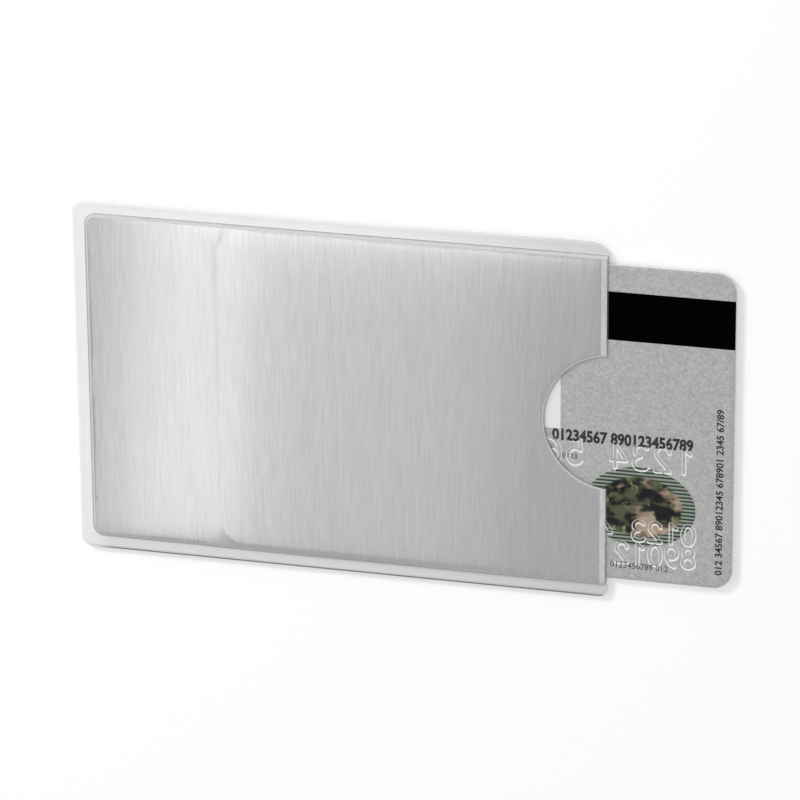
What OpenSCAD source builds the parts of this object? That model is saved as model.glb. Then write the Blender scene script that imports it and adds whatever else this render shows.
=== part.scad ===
// Shielding sleeve for one contactless card, with the card part drawn out of it.
// The sleeve lies flat. +X runs along it to the open mouth, +Y across its face and
// +Z out of its front face. The origin is the middle of its back face.

/* [Card] */
// Length of the card
card_length = 85.6; // [80:0.1:92]
// Height of the card
card_height = 53.98; // [48:0.01:60]
// Radius of the card's four corners
card_corner_radius = 3.18; // [1:0.01:6]
// How far the card is drawn out from its stop at the welded end
card_drawn = 22.3; // [1:0.1:60]

/* [Card layers] */
// Clear sheet laminated over each face of the card
overlay_thickness = 0.06; // [0.04:0.01:0.12]
// Printed sheet on the card's front side, which faces down
front_sheet_thickness = 0.20; // [0.15:0.01:0.4]
// Film in the middle of the card that carries the antenna
antenna_film_thickness = 0.16; // [0.15:0.01:0.3]
// Printed sheet on the card's back side, which faces up
back_sheet_thickness = 0.28; // [0.2:0.01:0.5]

/* [Card markings] */
// Thickness of the stripe, the panel and the patch on the card's back
marking_thickness = 0.02; // [0.01:0.01:0.04]
// Distance from the card's top edge to the magnetic stripe
stripe_inset = 4.5; // [2:0.1:8]
// Height of the magnetic stripe
stripe_height = 8.2; // [5:0.1:13]
// Distance from the stripe to the signature panel
panel_below_stripe = 6; // [3:0.1:8]
// Height of the signature panel
panel_height = 10; // [5:0.1:13]
// Distance from the card's inner end to the panel
panel_inner_inset = 6; // [2:0.5:20]
// Distance from the panel to the card's outer end
panel_outer_inset = 28.5; // [15:0.5:40]
// Width of the oval patch
patch_width = 18.4; // [8:0.2:22]
// Height of the oval patch
patch_height = 13.8; // [6:0.2:16]
// Distance from the card's outer end to the middle of the patch
patch_outer_inset = 15.3; // [12:0.1:30]
// Distance from the card's bottom edge to the middle of the patch
patch_bottom_inset = 12.9; // [11:0.1:17]

/* [Antenna and chip] */
// Number of turns in the antenna
antenna_turns = 5; // [3:1:6]
// Width of the antenna's track
track_width = 0.6; // [0.4:0.05:0.8]
// Gap between two turns of the track
track_gap = 0.5; // [0.4:0.05:0.8]
// Thickness of the track
track_thickness = 0.06; // [0.04:0.01:0.06]
// Distance from the card's edge to the middle of the outermost turn
antenna_inset = 4; // [3:0.1:5]
// Corner radius of the track, at its middle
antenna_corner_radius = 2.4; // [1.5:0.1:4]
// Radius of the crimps that join the bridge to the track
crimp_radius = 0.22; // [0.15:0.01:0.25]
// Play around a crimp and around the other inlaid pieces
inlay_play = 0.03; // [0.02:0.01:0.08]
// Thickness of the chip's metal frame
frame_thickness = 0.08; // [0.05:0.01:0.12]
// Width of the chip's metal frame
frame_width = 5.1; // [4:0.1:7]
// Length of the chip's metal frame across its slot
frame_length = 8.1; // [7:0.1:10]
// Slot between the two halves of the frame
frame_slot = 0.5; // [0.3:0.1:1]
// Side of the square cap moulded over the chip
cap_side = 4.4; // [3:0.1:5]

/* [Sleeve] */
// Width of the clear welded rim
weld_width = 2.0; // [1.2:0.1:4]
// Thickness of the fused layer between the two films
weld_thickness = 0.06; // [0.04:0.01:0.12]
// Width of the slope where a film rises from the rim
slope_width = 0.55; // [0.4:0.05:1.2]
// Play between the card and each long side of the pocket
side_play = 0.96; // [0.6:0.02:3]
// Play between the card and the end of the pocket when it is pushed in
end_play = 0.15; // [0.1:0.05:3]
// How far the mouth reaches past the card when it is pushed in
mouth_lip = 1.7; // [0:0.1:6]
// Corner radius at the welded end
end_corner_radius = 2.0; // [0.5:0.1:6]
// Radius of the mouth's upper corner
upper_mouth_radius = 3.0; // [0.5:0.1:6]
// Radius of the mouth's lower corner
lower_mouth_radius = 1.4; // [0.5:0.1:6]
// Radius of the raised face's corners
face_corner_radius = 1.5; // [0.5:0.1:4]

/* [Films] */
// Thickness of each clear outer film
film_thickness = 0.16; // [0.12:0.01:0.4]
// Thickness of each shielding foil
foil_thickness = 0.04; // [0.03:0.01:0.1]
// Thickness of each liner, which the card slides on
liner_thickness = 0.06; // [0.05:0.01:0.2]
// Play between the card and the liner on each side
face_play = 0.37; // [0.2:0.01:0.6]
// How far each face sinks where the card has been drawn away
face_sag = 0.12; // [0.05:0.01:0.15]
// Width of clear film left bare round the foil at the mouth and the notch
foil_inset = 0.3; // [0.1:0.05:1]
// How far up the slope each liner stops from where the two liners would meet
liner_stop = 0.10; // [0.05:0.01:0.3]

/* [Thumb notch] */
// Radius of the notch
notch_radius = 11.2; // [6:0.1:16]
// Depth of the notch from the mouth
notch_depth = 10.4; // [4:0.1:16]

/* [Hidden] */
$fn = 96;

// Sizes of the sleeve, which follow from the card and the plays round it
sleeve_length = weld_width + slope_width + end_play + card_length + mouth_lip;
sleeve_height = card_height + 2 * (side_play + slope_width + weld_width);
mouth_x = sleeve_length / 2;
end_x = -sleeve_length / 2;
edge_y = sleeve_height / 2;
weld_y = edge_y - weld_width;
face_y = weld_y - slope_width;
weld_x = end_x + weld_width;
face_x = weld_x + slope_width;

// The card's place along the sleeve
card_x0 = face_x + end_play + card_drawn;
card_x1 = card_x0 + card_length;
card_y = card_height / 2;

// The card's layers, from its front face down to its back face up
card_thickness = 2 * overlay_thickness + front_sheet_thickness
    + antenna_film_thickness + back_sheet_thickness;
middle_z = card_thickness / 2 + face_play + liner_thickness + foil_thickness + film_thickness;
front_overlay_z = middle_z - card_thickness / 2;
front_sheet_z = front_overlay_z + overlay_thickness;
antenna_film_z = front_sheet_z + front_sheet_thickness;
back_sheet_z = antenna_film_z + antenna_film_thickness;
back_overlay_z = back_sheet_z + back_sheet_thickness;
card_top_z = back_overlay_z + overlay_thickness;

// Heights of a face's inner side above the middle of the weld
rim_rise = weld_thickness / 2;
full_rise = middle_z - film_thickness;
low_rise = full_rise - face_sag;

// The foil stops just short of the slope, and the card's relief has the same edge
foil_margin = 0.08;
foil_y = face_y - foil_margin;
foil_x = face_x + foil_margin;
relief_margin = 0.1;
relief_slope = foil_y - card_y - relief_margin;
past_mouth = 10;

// The liners run on down the slope, past the foil, and stop before the two would meet
liners_meet = slope_width * (foil_thickness + liner_thickness) / (low_rise - rim_rise);
liner_reach = foil_margin + slope_width - liners_meet - liner_stop;

// Places on the card's back
stripe_y1 = card_y - stripe_inset;
stripe_y0 = stripe_y1 - stripe_height;
panel_y1 = stripe_y0 - panel_below_stripe;
panel_y0 = panel_y1 - panel_height;

// Antenna: its outline, the chip's place inside it and the bridge under its turns
track_pitch = track_width + track_gap;
antenna_x = card_length / 2 - antenna_inset;
antenna_y = card_y - antenna_inset;
antenna_centre_x = (card_x0 + card_x1) / 2;
corner_steps = 8;
inner_y = -antenna_y + antenna_turns * track_pitch;
track_z = back_sheet_z - track_thickness;
chip_x = 0;
chip_y = inner_y - track_width / 2 + frame_length / 2;
tail_x = chip_x + frame_width / 2 + 1.5;
tail_y = chip_y + frame_length / 2 - track_width / 2;
bridge_x = tail_x;
bridge_inner_y = inner_y + 1.6;
bridge_z = antenna_film_z;
bridge_thickness = track_thickness;
cap_z = antenna_film_z + inlay_play;

// A plate outline from x0 to x1 with its own radius at each corner:
// [upper right, lower right, upper left, lower left]
module plate_outline(x0, x1, half_y, radii) {
    difference() {
        translate([x0, -half_y]) square([x1 - x0, 2 * half_y]);
        corner_waste(x1, half_y, 1, 1, radii[0]);
        corner_waste(x1, -half_y, 1, -1, radii[1]);
        corner_waste(x0, half_y, -1, 1, radii[2]);
        corner_waste(x0, -half_y, -1, -1, radii[3]);
    }
}

// What a round corner takes off at the point x, y; sx and sy point out of the plate
module corner_waste(x, y, sx, sy, radius) {
    spare = 1;
    translate([x, y]) scale([sx, sy]) translate([-radius, -radius])
        difference() {
            square(radius + spare);
            circle(radius);
        }
}

module round_plate(x0, x1, half_y, radius, thickness) {
    linear_extrude(thickness)
        plate_outline(x0, x1, half_y, [radius, radius, radius, radius]);
}

// The thumb notch as a round cut in the mouth; grow widens it
module notch_outline(grow) {
    translate([mouth_x + notch_radius - notch_depth, 0]) circle(notch_radius + grow);
}

module film_outline() {
    difference() {
        plate_outline(end_x, mouth_x, edge_y,
            [upper_mouth_radius, lower_mouth_radius, end_corner_radius, end_corner_radius]);
        notch_outline(0);
    }
}

// The outline of a sheet inside the film; reach widens it on the welded sides
module inner_outline(reach) {
    square_end = 0.1;
    inner_radius = face_corner_radius + reach;
    difference() {
        plate_outline(foil_x - reach, mouth_x - foil_inset, foil_y + reach,
            [square_end, square_end, inner_radius, inner_radius]);
        notch_outline(foil_inset);
    }
}

// A low pan that tapers by slope on every side over its height
module pan(x0, half_y, radius, slope, height) {
    length = mouth_x + past_mouth - x0;
    base = [length, 2 * half_y];
    top = [length - 2 * slope, 2 * half_y - 2 * slope];
    translate([x0 + length / 2, 0, 0])
        linear_extrude(height, scale = [top[0] / base[0], top[1] / base[1]], slices = 1, $fn = 0)
            offset(r = radius, $fn = 32)
                square([base[0] - 2 * radius, base[1] - 2 * radius], center = true);
}

// Everything below a face's inner side, with the rim at z = 0: first the rise from
// the welds, then the relief that the card leaves in the film
module under_face() {
    depth = 1;
    translate([2 * end_x, -2 * edge_y, -depth])
        cube([4 * mouth_x, 4 * edge_y, depth]);
    pan(weld_x, weld_y, face_corner_radius + slope_width, slope_width, low_rise - rim_rise);
    translate([0, 0, low_rise - rim_rise])
        pan(card_x0 - relief_margin - relief_slope, foil_y,
            card_corner_radius + relief_slope, relief_slope, face_sag);
}

// One sheet of a face, from its lower side up, cut to the outline given as a child
module face_sheet(lower, thickness) {
    tall = 3;
    intersection() {
        difference() {
            translate([0, 0, rim_rise + lower + thickness]) under_face();
            translate([0, 0, rim_rise + lower]) under_face();
        }
        translate([0, 0, -tall]) linear_extrude(2 * tall) children();
    }
}

module film_sheet() {
    face_sheet(0, film_thickness) film_outline();
}

module foil_sheet() {
    face_sheet(-foil_thickness, foil_thickness) inner_outline(0);
}

module liner_sheet() {
    face_sheet(-foil_thickness - liner_thickness, liner_thickness)
        inner_outline(liner_reach);
}

module on_front() {
    translate([0, 0, middle_z]) children();
}

module on_rear() {
    translate([0, 0, middle_z]) mirror([0, 0, 1]) children();
}

module front_film() color([0.92, 0.93, 0.94, 0.5]) on_front() film_sheet();
module front_foil() color("silver") on_front() foil_sheet();
module front_liner() color("whitesmoke") on_front() liner_sheet();
module rear_film() color([0.92, 0.93, 0.94, 0.5]) on_rear() film_sheet();
module rear_foil() color("silver") on_rear() foil_sheet();
module rear_liner() color("whitesmoke") on_rear() liner_sheet();

// The fused layer between the rims of the two films, over one stretch of the rim
module weld_stretch(x0, x1, y0, y1) {
    translate([0, 0, middle_z - weld_thickness / 2])
        linear_extrude(weld_thickness)
            intersection() {
                film_outline();
                translate([x0, y0]) square([x1 - x0, y1 - y0]);
            }
}

module upper_edge_weld() color("gainsboro") weld_stretch(end_x, mouth_x, weld_y, edge_y);
module lower_edge_weld() color("gainsboro") weld_stretch(end_x, mouth_x, -edge_y, -weld_y);
module end_weld() color("gainsboro") weld_stretch(end_x, weld_x, -weld_y, weld_y);

// One full sheet of the card
module card_sheet(z, thickness) {
    translate([0, 0, z])
        round_plate(card_x0, card_x1, card_y, card_corner_radius, thickness);
}

module card_back_overlay() color("silver") card_sheet(back_overlay_z, overlay_thickness);
module card_front_overlay() color("silver") card_sheet(front_overlay_z, overlay_thickness);

module card_back_sheet() {
    color("darkgray") difference() {
        card_sheet(back_sheet_z, back_sheet_thickness);
        frame_room(back_sheet_z - 1, 1 + frame_thickness + inlay_play);
    }
}

module card_front_sheet() color("darkgray") card_sheet(front_sheet_z, front_sheet_thickness);

// The antenna is a flat spiral. Each straight run lies a quarter of a pitch further in
// than the one before it, and each corner is a quarter circle about its own centre.
function run_inset(run) = run * track_pitch / 4;
function corner_side(corner) = [
    (corner % 4 == 0 || corner % 4 == 1) ? 1 : -1,
    (corner % 4 == 0 || corner % 4 == 3) ? -1 : 1
];
function corner_inset(corner) = corner % 2 == 0
    ? [run_inset(corner + 1), run_inset(corner)]
    : [run_inset(corner), run_inset(corner + 1)];
function corner_centre(corner) = [
    corner_side(corner)[0] * (antenna_x - corner_inset(corner)[0] - antenna_corner_radius),
    corner_side(corner)[1] * (antenna_y - corner_inset(corner)[1] - antenna_corner_radius)
];
function corner_arc(corner, radius) = [
    for (step = [0 : corner_steps])
        let (turn = 90 * (corner - 1 + step / corner_steps))
        corner_centre(corner) + radius * [cos(turn), sin(turn)]
];
// One edge of the track, side to the right (+1) or the left (-1) of its middle
function track_edge(side) = let (
    half = side * track_width / 2,
    start = [bridge_x - antenna_centre_x - track_width / 2, -antenna_y - half],
    finish = [chip_x - antenna_centre_x + frame_width / 2 - track_width, inner_y - half]
) concat(
    [start],
    [for (corner = [0 : 4 * antenna_turns - 1])
        each corner_arc(corner, antenna_corner_radius + half)],
    [finish]
);
function backwards(list) = [for (i = [len(list) - 1 : -1 : 0]) list[i]];

module spiral_track() {
    translate([antenna_centre_x, 0])
        polygon(concat(track_edge(1), backwards(track_edge(-1))));
}

// The short track from the chip's upper pad to the bridge; grow widens it
module tail_track(grow) {
    half = track_width / 2 + grow;
    translate([chip_x, tail_y - half]) square([tail_x - chip_x + half, 2 * half]);
    translate([tail_x - half, bridge_inner_y - half])
        square([2 * half, tail_y - bridge_inner_y + 2 * half]);
}

module antenna_coil() {
    color("peru") translate([0, 0, track_z])
        linear_extrude(track_thickness) {
            spiral_track();
            tail_track(0);
        }
}

// The bridge runs under the film and carries the coil's outer end in under the turns
module bridge_bar(grow) {
    half = track_width / 2 + grow;
    translate([bridge_x - half, -antenna_y - half])
        square([2 * half, bridge_inner_y + antenna_y + 2 * half]);
}

module crimps(radius, z, height) {
    for (y = [-antenna_y, bridge_inner_y])
        translate([bridge_x, y, z]) cylinder(r = radius, h = height, $fn = 32);
}

module antenna_bridge() {
    color("peru") union() {
        translate([0, 0, bridge_z]) linear_extrude(bridge_thickness) bridge_bar(0);
        crimps(crimp_radius, bridge_z, track_z - bridge_z);
    }
}

module frame_room(z, height) {
    grow = 2 * inlay_play;
    translate([chip_x - (frame_width + grow) / 2, chip_y - (frame_length + grow) / 2, z])
        cube([frame_width + grow, frame_length + grow, height]);
}

// Two metal pads, joined only by the cap under them
module chip_frame() {
    pad_length = (frame_length - frame_slot) / 2;
    color("goldenrod")
        for (y = [chip_y - frame_length / 2, chip_y + frame_slot / 2])
            translate([chip_x - frame_width / 2, y, back_sheet_z])
                cube([frame_width, pad_length, frame_thickness]);
}

module chip_cap() {
    color("dimgray") translate([chip_x - cap_side / 2, chip_y - cap_side / 2, cap_z])
        cube([cap_side, cap_side, back_sheet_z - cap_z]);
}

// The film has a shallow channel for the turns, one for the tail and one below for the
// bridge, a hole for each crimp and a window for the chip's cap
module antenna_film() {
    reach = track_width / 2 + inlay_play;
    deepest = run_inset(4 * antenna_turns) + reach;
    window = cap_side + 2 * inlay_play;
    color("white") difference() {
        card_sheet(antenna_film_z, antenna_film_thickness);
        translate([antenna_centre_x, 0, track_z]) linear_extrude(1)
            difference() {
                plate_outline(-antenna_x - reach, antenna_x + reach, antenna_y + reach,
                    [for (i = [1 : 4]) antenna_corner_radius + reach]);
                plate_outline(-antenna_x + deepest, antenna_x - deepest, antenna_y - deepest,
                    [for (i = [1 : 4]) antenna_corner_radius - reach]);
            }
        translate([0, 0, track_z]) linear_extrude(1) tail_track(inlay_play);
        translate([0, 0, bridge_z - 1]) linear_extrude(1 + bridge_thickness)
            bridge_bar(inlay_play);
        crimps(crimp_radius + inlay_play, antenna_film_z, antenna_film_thickness);
        translate([chip_x - window / 2, chip_y - window / 2, antenna_film_z - 1])
            cube([window, window, 2 + antenna_film_thickness]);
    }
}

module magnetic_stripe() {
    color("black") translate([card_x0, stripe_y0, card_top_z])
        cube([card_length, stripe_height, marking_thickness]);
}

module signature_panel() {
    color("ghostwhite") translate([card_x0 + panel_inner_inset, panel_y0, card_top_z])
        cube([card_length - panel_inner_inset - panel_outer_inset, panel_height, marking_thickness]);
}

module hologram_patch() {
    color("olivedrab")
        translate([card_x1 - patch_outer_inset, -card_y + patch_bottom_inset, card_top_z])
            linear_extrude(marking_thickness)
                polygon([for (turn = [0 : 7.5 : 352.5])
                    [cos(turn) * patch_width / 2, sin(turn) * patch_height / 2]]);
}

front_film();
front_foil();
front_liner();
rear_film();
rear_foil();
rear_liner();
upper_edge_weld();
lower_edge_weld();
end_weld();
card_back_overlay();
card_back_sheet();
antenna_film();
antenna_coil();
antenna_bridge();
chip_frame();
chip_cap();
card_front_sheet();
card_front_overlay();
magnetic_stripe();
signature_panel();
hologram_patch();
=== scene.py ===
# %% [markdown]
# A shielding sleeve for one contactless card, with the card part drawn out.
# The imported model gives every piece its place. This lesson gives the pieces their looks:
# the pressed films and foils, the embossed card, its prints and their finishes.

import math

import bmesh
import bpy
import numpy as np
from mathutils import Matrix, Quaternion, Vector
from mathutils.geometry import delaunay_2d_cdt


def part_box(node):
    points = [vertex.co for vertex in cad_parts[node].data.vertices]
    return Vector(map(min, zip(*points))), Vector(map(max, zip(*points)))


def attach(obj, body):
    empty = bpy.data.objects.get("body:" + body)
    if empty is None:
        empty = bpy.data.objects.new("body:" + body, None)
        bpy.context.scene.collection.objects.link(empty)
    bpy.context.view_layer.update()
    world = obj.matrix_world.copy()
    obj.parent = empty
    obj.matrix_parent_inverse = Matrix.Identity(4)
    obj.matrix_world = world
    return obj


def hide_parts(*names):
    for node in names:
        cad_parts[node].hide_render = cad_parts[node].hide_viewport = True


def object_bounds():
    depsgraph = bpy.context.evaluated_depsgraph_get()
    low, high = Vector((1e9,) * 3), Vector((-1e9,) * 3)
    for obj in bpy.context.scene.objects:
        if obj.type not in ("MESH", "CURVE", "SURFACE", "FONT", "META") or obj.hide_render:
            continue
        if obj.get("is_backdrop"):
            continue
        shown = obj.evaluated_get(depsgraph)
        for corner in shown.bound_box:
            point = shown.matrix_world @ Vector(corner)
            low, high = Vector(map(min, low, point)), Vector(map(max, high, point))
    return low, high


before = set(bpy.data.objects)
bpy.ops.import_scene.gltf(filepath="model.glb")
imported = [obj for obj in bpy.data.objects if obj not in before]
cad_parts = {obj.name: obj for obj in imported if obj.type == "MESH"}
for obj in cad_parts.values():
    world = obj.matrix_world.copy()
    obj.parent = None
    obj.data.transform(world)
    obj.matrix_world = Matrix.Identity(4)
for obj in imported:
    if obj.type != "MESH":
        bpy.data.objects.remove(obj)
cad_low, cad_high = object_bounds()
MM = 0.001
print("The packed part measures", [round(side / MM, 2) for side in cad_high - cad_low], "mm")

# %% [markdown]
# Every size below is in millimetres, because foil and film are thought of that way.
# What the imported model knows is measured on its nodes. The rest are real sizes of the
# object: the film's own thickness, the thumb notch and the corner radii.


# %% Sizes of the sleeve and the card
def box_mm(node):
    """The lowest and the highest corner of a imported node, in millimetres."""
    return [Vector([round(value / MM, 4) for value in corner]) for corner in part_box(node)]


film_low, film_high = box_mm("front_film")
foil_low, foil_high = box_mm("front_foil")
liner_low, liner_high = box_mm("front_liner")
weld_low, weld_high = box_mm("end_weld")
card_low, card_high = box_mm("card_back_overlay")
patch_low, patch_high = box_mm("hologram_patch")
patch_centre = (patch_low + patch_high) / 2
patch_half = (patch_high - patch_low) / 2

film_thickness = 0.16
foil_thickness = 0.04
liner_thickness = 0.06
slope_width = 0.55
notch_radius = 11.2
notch_depth = 10.4
film_corners = (3.0, 1.4, 2.0)
face_corner = 1.5
card_corner = 3.18

end_x, mouth_x, edge_y = film_low.x, film_high.x, film_high.y
weld_width = weld_high.x - weld_low.x
middle = (weld_low.z + weld_high.z) / 2
rim_rise = weld_high.z - middle
full_rise = film_high.z - film_thickness - middle
notch_x = mouth_x + notch_radius - notch_depth
print("Sleeve", mouth_x - end_x, "x", 2 * edge_y, "mm, weld", weld_width, "mm, rise", full_rise, "mm")

# %% [markdown]
# A sheet is cut before it is pressed. Its outline is four round corners, straight edges
# and the thumb notch, so arcs and lines by formula are enough. The same function gives
# the outline drawn in by any amount, which the rounded cut edge needs.


# %% Outline of a sheet of the sleeve
def arc(centre, radius, start, end, steps):
    """Points on a circle from one angle to another, in degrees."""
    turn = np.radians(np.linspace(start, end, steps + 1))
    return np.column_stack([centre[0] + radius * np.cos(turn), centre[1] + radius * np.sin(turn)])


def straight(start, end, shares):
    """Points between two ends, without the ends themselves."""
    shares = np.asarray(shares)[1:-1, None]
    return np.array(start) + shares * (np.array(end) - np.array(start))


# Shares of an edge's length, close near the mouth's corners
FINE_SHARES = np.concatenate([np.linspace(0, 0.14, 32, endpoint=False), np.linspace(0.14, 1, 22)])
LONG_SHARES = np.linspace(0, 1, 110)
SIDE_SHARES = np.linspace(0, 1, 70)


def sleeve_outline(low, high, corners, grow):
    """Gives outline(inset) for a sheet between two corners, cut with the notch."""
    def outline(inset):
        x0, x1, y1 = low.x + inset, high.x - inset, high.y - inset
        upper, lower, end = [max(corner - inset, 0.02) for corner in corners]
        reach = notch_radius + grow + inset
        notch_y = math.sqrt(reach ** 2 - (notch_x - x1) ** 2)
        turn = math.degrees(math.atan2(notch_y, x1 - notch_x))
        return np.vstack([
            arc((x1 - lower, lower - y1), lower, -90, 0, 20),
            straight((x1, lower - y1), (x1, -notch_y), FINE_SHARES),
            arc((notch_x, 0), reach, 360 - turn, turn, 90),
            straight((x1, notch_y), (x1, y1 - upper), 1 - FINE_SHARES[::-1]),
            arc((x1 - upper, y1 - upper), upper, 0, 90, 36),
            straight((x1 - upper, y1), (x0 + end, y1), LONG_SHARES),
            arc((x0 + end, y1 - end), end, 90, 180, 16),
            straight((x0, y1 - end), (x0, end - y1), SIDE_SHARES),
            arc((x0 + end, end - y1), end, 180, 270, 16),
            straight((x0 + end, -y1), (x1 - lower, -y1), LONG_SHARES),
        ])
    return outline


# %% [markdown]
# A flat blank needs points where it will bend: close rows on the slope beside the weld,
# close columns where the card ends, and a plain grid elsewhere. Triangulating all of
# them inside the outline gives one skin, and a second skin with a rounded ring between
# the two makes it a closed sheet. Each point notes how far through the sheet it lies.

# %% Points of the pressed sheets
card_end = card_low.x
fold_reach = face_corner + slope_width + weld_width


def clearance(points, low, high, corners, grow):
    """How far each point lies inside a sheet's outline."""
    x, y = points[:, 0], points[:, 1]
    inside = np.minimum(np.minimum(x - low.x, high.x - x), high.y - np.abs(y))
    inside = np.minimum(inside, np.hypot(x - notch_x, y) - notch_radius - grow)
    for side_x, side_y, corner in ((1, 1, corners[0]), (1, -1, corners[1]),
                                   (-1, 1, corners[2]), (-1, -1, corners[2])):
        edge = high.x if side_x > 0 else -low.x
        over_x = side_x * x - (edge - corner)
        over_y = side_y * y - (high.y - corner)
        in_corner = (over_x > 0) & (over_y > 0)
        inside = np.where(in_corner, np.minimum(inside, corner - np.hypot(over_x, over_y)), inside)
    return inside


def mixed_stations(start, end, step, fine_start, fine_end, fine_step):
    """Stations at one step, with a stretch of closer ones."""
    return np.concatenate([
        np.arange(start, fine_start, step),
        np.arange(fine_start, fine_end, fine_step),
        np.arange(fine_end, end, step),
    ])


def press_points():
    """The points where the sheets are pressed: rows round the welds, then a grid."""
    plain, fine_x, fine_y, fine_slope = 0.8, 0.2, 0.3, 0.05
    stations_x = mixed_stations(end_x + fold_reach, mouth_x, plain, card_end - 3, card_end + 5, fine_x)
    upper_y = mixed_stations(0.4, edge_y - fold_reach, plain, 22.0, edge_y - fold_reach, fine_y)
    rows = np.concatenate([
        [0.2, 0.35, 0.5, 0.65, 0.85, 1.15, 1.5, 1.8],
        weld_width + np.arange(0, slope_width, fine_slope),
        [2.63, 2.75, 2.9, 3.1, 3.3, 3.5, 3.7, 3.9],
    ])
    found = []
    for inset in rows:
        radius = fold_reach - inset
        corner_y = edge_y - fold_reach
        bend = arc((end_x + fold_reach, corner_y), radius, 90, 180, 14)
        run = np.column_stack([stations_x[1:], np.full(len(stations_x) - 1, edge_y - inset)])
        side = np.column_stack([np.full(len(upper_y), end_x + inset), upper_y])
        half = np.vstack([run, bend, side])
        found += [half, half * [1, -1]]
    grid_x, grid_y = np.meshgrid(stations_x, upper_y)
    half = np.column_stack([grid_x.ravel(), grid_y.ravel()])
    found += [half, half * [1, -1]]
    return np.vstack(found)


SLEEVE_POINTS = press_points()
print("Points where the sheets may bend:", len(SLEEVE_POINTS))

# %% [markdown]
# A blade cuts the real sheets and leaves a slightly rounded edge, so the ring between the
# two skins follows half a circle. A finished piece is turned to metres and rides its body.


# %% Cut a flat blank
def new_object(name, data):
    """An object in the scene with the given data."""
    made = bpy.data.objects.new(name, data)
    bpy.context.scene.collection.objects.link(made)
    return made


def cut_blank(name, outline, inner, edge=0.05, edge_steps=4):
    """A closed flat sheet in millimetres, with the attribute through from 0 to 1."""
    rim = outline(edge)
    flat = [Vector(point) for point in np.vstack([rim, inner])]
    found, _, triangles, sources, _, _ = delaunay_2d_cdt(flat, [], [list(range(len(rim)))], 1, 1e-5)
    place_of = {}
    for place, numbers in enumerate(sources):
        for number in numbers:
            place_of[number] = place
    skin = np.array([(point.x, point.y) for point in found])
    count = len(skin)
    upper_rim = [place_of[number] for number in range(len(rim))]
    lower_rim = [place + count for place in upper_rim]

    plan = [skin, skin]
    through = [np.ones(count), np.zeros(count)]
    rings = [upper_rim]
    for step in range(1, edge_steps):
        turn = math.radians(90 - 180 * step / edge_steps)
        first = 2 * count + (step - 1) * len(rim)
        plan.append(outline(edge * (1 - math.cos(turn))))
        through.append(np.full(len(rim), (1 + math.sin(turn)) / 2))
        rings.append(list(range(first, first + len(rim))))
    rings.append(lower_rim)

    faces = [tuple(face) for face in triangles]
    faces += [tuple(corner + count for corner in reversed(face)) for face in triangles]
    for above, below in zip(rings, rings[1:]):
        for number in range(len(rim)):
            following = (number + 1) % len(rim)
            faces.append((above[number], below[number], below[following], above[following]))

    plan = np.vstack(plan)
    through = np.concatenate(through)
    mesh = bpy.data.meshes.new(name)
    mesh.from_pydata(np.column_stack([plan, through]).tolist(), [], faces)
    mesh.attributes.new("through", "FLOAT", "POINT").data.foreach_set("value", through)
    return new_object(name, mesh)


def settle(piece, body, slot, *replaced):
    """Turns a finished piece to metres, points its faces outward and lets it ride."""
    work = bmesh.new()
    work.from_mesh(piece.data)
    bmesh.ops.recalc_face_normals(work, faces=work.faces)
    work.to_mesh(piece.data)
    work.free()
    piece.data.transform(Matrix.Scale(MM, 4))
    piece.data.shade_smooth()
    piece.data.set_sharp_from_angle(angle=math.radians(50))
    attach(piece, body)
    if replaced:
        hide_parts(*replaced)
    print(piece.name, "has", len(piece.data.polygons), "faces")


# %% [markdown]
# Node trees hold the formulas of this lesson, for the press and for the finishes. Maths
# nodes are tedious to wire one by one, so a small class lets a formula be written as
# such, and leaves the nodes behind.


# %% Formulas kept as nodes
class Field:
    """One number at every point, which keeps each step of its formula as a node."""

    def __init__(self, tree, socket):
        self.tree = tree
        self.socket = socket

    def step(self, operation, *values):
        """The next number, by one operation on this one and the given values."""
        node = self.tree.nodes.new("ShaderNodeMath")
        node.operation = operation
        for pin, value in zip(node.inputs, (self, *values)):
            feed(self.tree, value, pin)
        return Field(self.tree, node.outputs[0])

    def __add__(self, other):
        return self.step("ADD", other)

    def __sub__(self, other):
        return self.step("SUBTRACT", other)

    def __rsub__(self, other):
        return self.step("MULTIPLY", -1.0) + other

    def __mul__(self, other):
        return self.step("MULTIPLY", other)

    def __truediv__(self, other):
        return self.step("DIVIDE", other)

    __radd__ = __add__
    __rmul__ = __mul__

    def least(self, value):
        """The number, or the value where that is larger."""
        return self.step("MAXIMUM", value)

    def size(self):
        """The number without its sign."""
        return self.step("ABSOLUTE")

    def rise(self, start, end):
        """Goes from 0 to 1 between start and end, level at both ends."""
        node = self.tree.nodes.new("ShaderNodeMapRange")
        node.interpolation_type = "SMOOTHSTEP"
        for pin, value in zip(node.inputs, (self, start, end)):
            feed(self.tree, value, pin)
        return Field(self.tree, node.outputs["Result"])

    def settling(self, reach):
        """Goes from 0 towards 1, and has covered most of it after the given reach."""
        return 1.0 - (self * -1.0 / reach).step("EXPONENT")

    def bump_at(self, centre, width):
        """A rounded peak of height 1 about a centre."""
        off = (self - centre) / width
        return (off * off * -1.0).step("EXPONENT")


def feed(tree, value, pin):
    """Links a field or a socket to a node's pin, or sets the pin to a plain value."""
    if isinstance(value, Field):
        value = value.socket
    if isinstance(value, bpy.types.NodeSocket):
        tree.links.new(value, pin)
    else:
        pin.default_value = value


def long_side(first, second):
    """The long side of a right triangle with these two short sides."""
    return (first * first + second * second).step("SQRT")


# %% [markdown]
# The two faces are pressed from flat sheets: level at the weld, a short slope, then a
# face that stands proud of the card and drapes where the card has been drawn away. That
# height follows a rule in x and y, so Geometry Nodes press each blank. Film, foil and
# liner go through the same tree with their own depth, and so they nest.


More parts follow.
